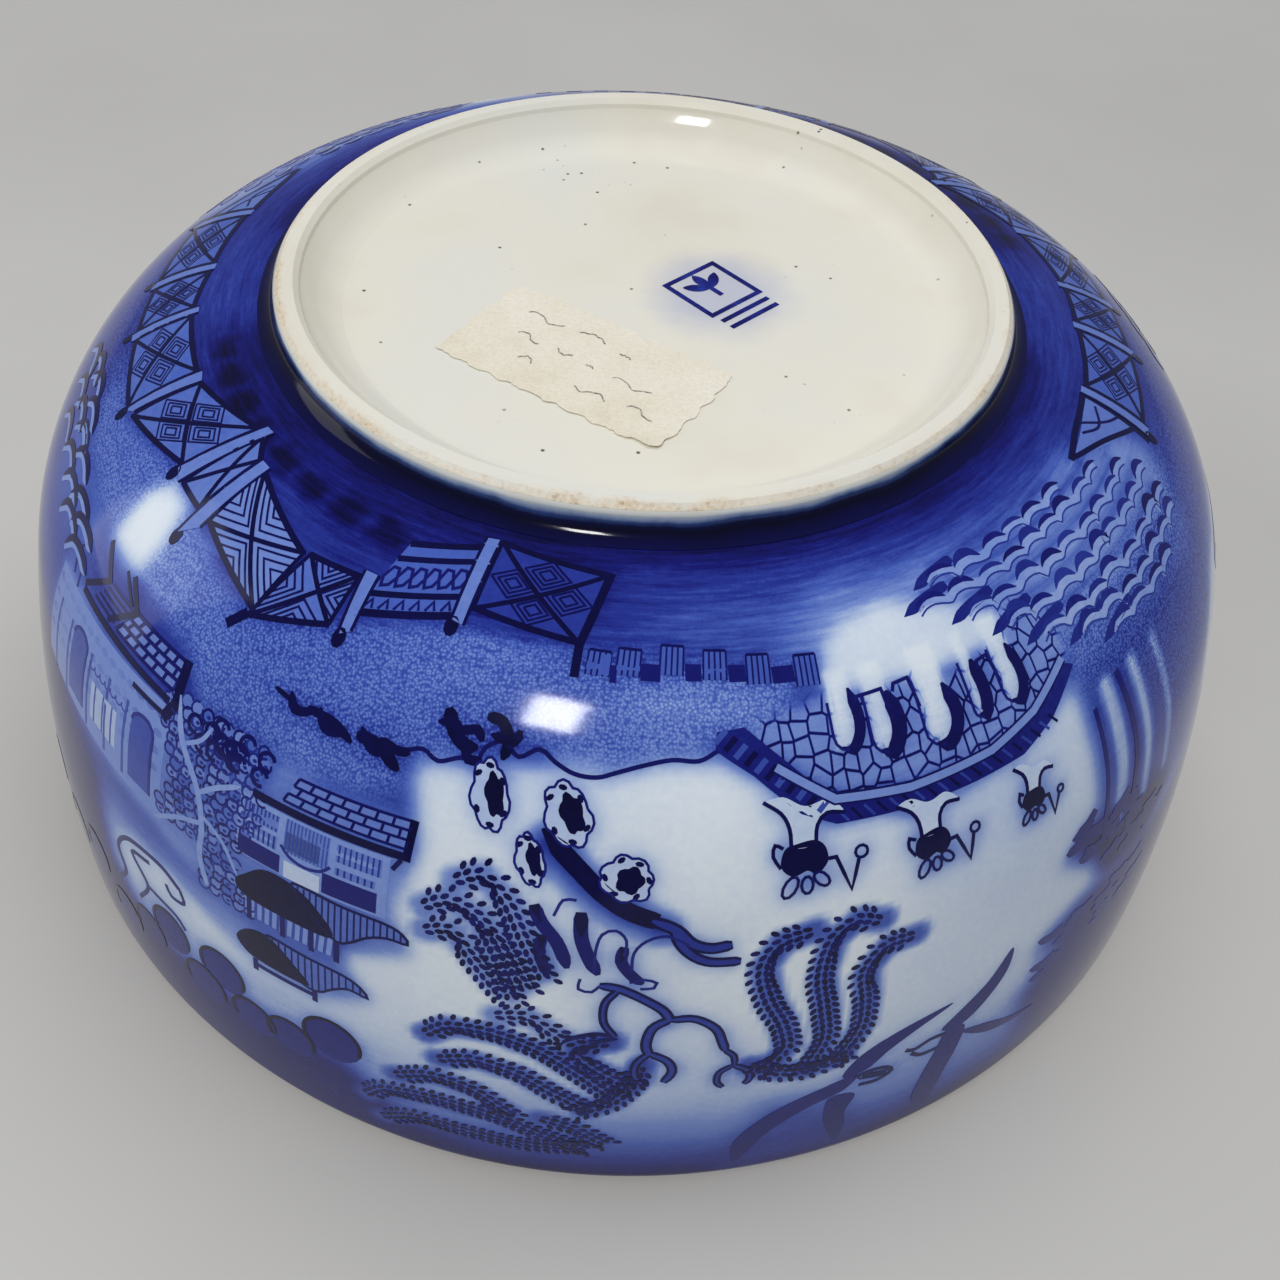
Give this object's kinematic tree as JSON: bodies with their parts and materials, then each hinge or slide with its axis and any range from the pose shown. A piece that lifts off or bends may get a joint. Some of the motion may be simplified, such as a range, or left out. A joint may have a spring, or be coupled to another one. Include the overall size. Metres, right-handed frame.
{
  "type": "serving bowl",
  "caption": "Round deep serving bowl with a low ground foot ring and blue printed glaze, standing mouth down on its lip.",
  "frame": {"origin": "centre of the lip circle, on the plane that the lip stands on with the bowl mouth down, as pictured", "axes": "+Z along the bowl's axis, out of the foot ring, so the mouth opens towards -Z; -Y is the side that the printed bridge faces, and a half turn about +X sets the bowl upright on its foot for use"},
  "size_m": [0.2286, 0.2286, 0.098],
  "materials": {
    "clay": "matt fired clay",
    "blue_glaze": "gloss",
    "white_glaze": "gloss",
    "dark_glaze": "gloss",
    "cream_glaze": "gloss",
    "blue_print": "gloss",
    "gum": "dried gum",
    "paper": "aged paper"
  },
  "bodies": {
    "root": {"bowl_body": "clay", "foot_ring": "clay", "outer_glaze": "blue_glaze", "inner_glaze": "white_glaze", "foot_glaze": "dark_glaze", "base_glaze": "cream_glaze", "maker_mark": "blue_print", "label_gum": "gum", "paper_label": "paper"}
  },
  "joints": []
}
